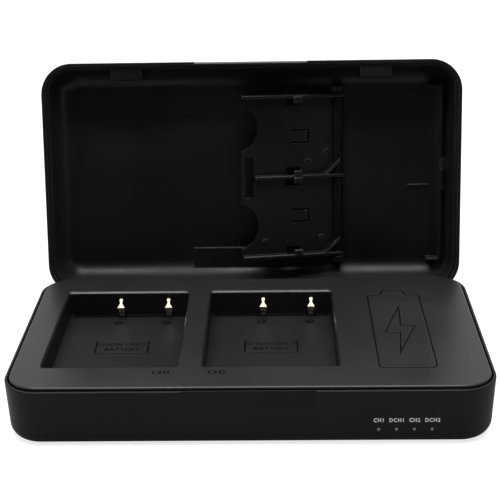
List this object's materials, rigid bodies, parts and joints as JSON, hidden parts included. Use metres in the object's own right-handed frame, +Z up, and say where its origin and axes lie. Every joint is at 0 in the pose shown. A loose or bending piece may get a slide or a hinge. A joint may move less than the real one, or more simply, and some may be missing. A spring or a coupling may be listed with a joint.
{
  "type": "camera battery charger",
  "caption": "Pocket camera battery charger in a hinged case: flat deck with battery bays and sprung contacts, deep lid with a swing-out memory card page.",
  "frame": {"origin": "middle of the base's flat underside", "axes": "+X along the case to the socket side, +Y from the indicator wall to the hinge, +Z up out of the battery bays"},
  "size_m": [0.132, 0.1079, 0.0822],
  "materials": {
    "case_plastic": "fine matt texture, black",
    "lid_plastic": "fine matt texture, black",
    "deck_plastic": "satin black, soft sheen",
    "page_plastic": "satin black",
    "board": "green solder resist",
    "clear_plastic": "clear moulded light guide",
    "lamp": "pale lamp body",
    "contact_gold": "gold-plated spring strip",
    "socket_metal": "folded plated steel",
    "socket_plastic": "black moulding",
    "ferrite": "dark grey ferrite",
    "can_metal": "satin can",
    "chip_plastic": "matt black",
    "screw_steel": "dark plated steel",
    "pin_steel": "drawn steel"
  },
  "bodies": {
    "base": {"base_shell": "case_plastic", "top_deck": "deck_plastic", "main_board": "board", "light_guide": "clear_plastic", "indicator_1": "lamp", "indicator_2": "lamp", "indicator_3": "lamp", "indicator_4": "lamp", "contact_bay1_left": "contact_gold", "contact_bay1_right": "contact_gold", "contact_bay2_left": "contact_gold", "contact_bay2_right": "contact_gold", "output_socket_shell": "socket_metal", "output_socket_core": "socket_plastic", "input_socket_shell": "socket_metal", "input_socket_core": "socket_plastic", "power_inductor_1": "ferrite", "power_inductor_2": "ferrite", "filter_capacitor_1": "can_metal", "filter_capacitor_2": "can_metal", "filter_capacitor_3": "can_metal", "control_chip_1": "chip_plastic", "control_chip_2": "chip_plastic", "case_screws": "screw_steel", "board_screws": "screw_steel", "hinge_pin": "pin_steel"},
    "lid": {"lid_shell": "lid_plastic"},
    "page": {"card_page": "page_plastic"}
  },
  "joints": [
    {"name": "lid_hinge", "type": "hinge", "parent": "base", "child": "lid", "pos_m": [0, 0.0355, 0.0124], "axis": [1, 0, 0], "range_deg": [0, 102.3]},
    {"name": "page_hinge", "type": "hinge", "parent": "lid", "child": "page", "pos_m": [0.0277, 0.05953, 0.0435], "axis": [0, 0.213, 0.977], "range_deg": [0, 164]}
  ]
}
